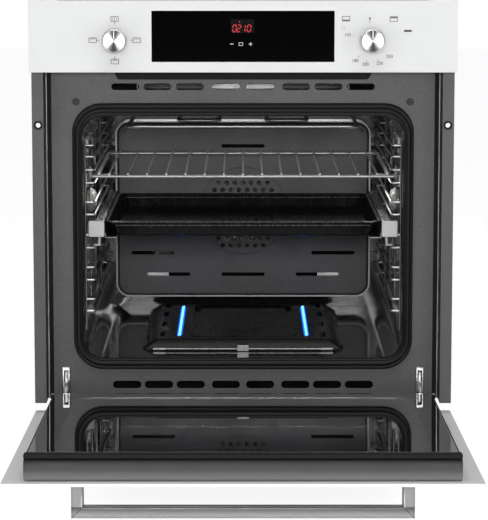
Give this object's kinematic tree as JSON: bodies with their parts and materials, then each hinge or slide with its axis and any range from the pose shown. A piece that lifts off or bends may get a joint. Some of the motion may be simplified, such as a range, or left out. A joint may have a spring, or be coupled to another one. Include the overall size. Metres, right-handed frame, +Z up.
{
  "type": "built-in gas wall oven",
  "caption": "Built-in gas oven with a white glass panel, drop-down door shown open, slide-out wire shelf and tray on runners, fan and floor burner.",
  "frame": {"origin": "centre of the base plate's underside, 300 mm behind the front face of the control panel", "axes": "+X to the right seen from the front, +Y into the oven, +Z up"},
  "size_m": [0.595, 1.0146, 0.6266],
  "materials": {
    "grey_paint": "fine-grained satin",
    "black_enamel": "gloss vitreous enamel",
    "dark_mat": "matte speckled enamel",
    "galvanised": "galvanised sheet",
    "chrome": "polished",
    "aluminium": "brushed satin",
    "white_glass": "white back-painted glass, gloss",
    "black_glass": "black reflective glass",
    "black_rubber": "matte silicone",
    "black_plastic": "satin",
    "mineral_wool": "mineral wool",
    "lamp_glass": "clear heat-proof glass dome",
    "brass": "dull"
  },
  "bodies": {
    "oven": {"base_plate": "galvanised", "casing_left": "galvanised", "casing_right": "galvanised", "casing_top": "galvanised", "casing_back": "galvanised", "side_trim_left": "grey_paint", "side_trim_right": "grey_paint", "trim_grommet_left": "grey_paint", "trim_grommet_right": "grey_paint", "front_frame": "grey_paint", "door_bumper_left": "black_rubber", "door_bumper_right": "black_rubber", "cavity_liner": "black_enamel", "cavity_gasket": "black_rubber", "insulation_blanket": "mineral_wool", "lamp_left": "lamp_glass", "lamp_right": "lamp_glass", "fan_cover": "dark_mat", "fan_motor": "galvanised", "grill_element": "dark_mat", "oven_burner": "galvanised", "gas_inlet_pipe": "brass", "burner_feed_pipe": "brass", "burner_plate": "black_enamel", "burner_plate_clip": "galvanised", "burner_plate_rod": "chrome", "rack_left": "chrome", "rack_right": "chrome", "runner_rail_left": "galvanised", "runner_rail_right": "galvanised", "control_panel_glass": "white_glass", "pilot_lamp_lens": "black_plastic", "panel_bracket": "galvanised", "timer_module": "black_plastic", "function_switch": "black_plastic", "thermostat_body": "aluminium", "cooling_fan_housing": "galvanised", "cooling_fan_motor": "galvanised", "hinge_arm_left": "galvanised", "hinge_arm_right": "galvanised"},
    "function_knob": {"function_knob": "aluminium"},
    "thermostat_shaft": {"thermostat_shaft": "aluminium"},
    "temperature_knob": {"temperature_knob": "aluminium"},
    "wire_shelf": {"wire_shelf": "chrome"},
    "tray": {"baking_tray": "black_enamel", "runner_carriage_left": "aluminium", "runner_carriage_right": "aluminium"},
    "runner_slide_left": {"runner_slide_left": "galvanised"},
    "runner_slide_right": {"runner_slide_right": "galvanised"},
    "fan_wheel": {"fan_wheel": "galvanised"},
    "cooling_fan_rotor": {"cooling_fan_rotor": "galvanised"},
    "door": {"door_outer_glass": "white_glass", "door_inner_glass": "black_glass", "door_top_profile": "grey_paint", "door_side_left": "grey_paint", "door_side_right": "grey_paint", "door_bottom_bracket": "grey_paint", "door_handle": "aluminium"},
    "hinge_latch_left": {"hinge_latch_left": "galvanised"},
    "hinge_latch_right": {"hinge_latch_right": "galvanised"}
  },
  "joints": [
    {"name": "door_hinge", "type": "hinge", "parent": "oven", "child": "door", "pos_m": [0, -0.2771, 0.0035], "axis": [1, 0, 0], "range_deg": [-88, 0]},
    {"name": "function_knob_turn", "type": "hinge", "parent": "oven", "child": "function_knob", "pos_m": [-0.178, -0.3, 0.518], "axis": [0, 1, 0], "continuous": true},
    {"name": "thermostat_turn", "type": "hinge", "parent": "oven", "child": "thermostat_shaft", "pos_m": [0.179, -0.3, 0.518], "axis": [0, 1, 0], "range_deg": [-226, 46]},
    {"name": "temperature_knob_push", "type": "slide", "parent": "thermostat_shaft", "child": "temperature_knob", "axis": [0, 1, 0], "range_m": [0, 0.004], "stiffness_N_per_m": 1500},
    {"name": "shelf_slide", "type": "slide", "parent": "oven", "child": "wire_shelf", "axis": [0, -1, 0], "range_m": [0, 0.3]},
    {"name": "tray_slide", "type": "slide", "parent": "oven", "child": "tray", "axis": [0, -1, 0], "range_m": [0, 0.32]},
    {"name": "runner_left_slide", "type": "slide", "parent": "oven", "child": "runner_slide_left", "axis": [0, -1, 0], "range_m": [0, 0.16]},
    {"name": "runner_right_slide", "type": "slide", "parent": "oven", "child": "runner_slide_right", "axis": [0, -1, 0], "range_m": [0, 0.16]},
    {"name": "fan_spin", "type": "hinge", "parent": "oven", "child": "fan_wheel", "pos_m": [0, 0.16, 0.221], "axis": [0, 1, 0], "continuous": true},
    {"name": "cooling_fan_spin", "type": "hinge", "parent": "oven", "child": "cooling_fan_rotor", "pos_m": [0, -0.188, 0.473], "axis": [1, 0, 0], "continuous": true},
    {"name": "hinge_latch_left_flip", "type": "hinge", "parent": "oven", "child": "hinge_latch_left", "pos_m": [-0.2535, -0.26, 0.016], "axis": [1, 0, 0], "range_deg": [0, 60]},
    {"name": "hinge_latch_right_flip", "type": "hinge", "parent": "oven", "child": "hinge_latch_right", "pos_m": [0.2535, -0.26, 0.016], "axis": [1, 0, 0], "range_deg": [0, 60]}
  ],
  "couplings": [
    {"joint": "runner_left_slide", "follows": "tray_slide", "ratio": 0.5},
    {"joint": "runner_right_slide", "follows": "tray_slide", "ratio": 0.5}
  ]
}
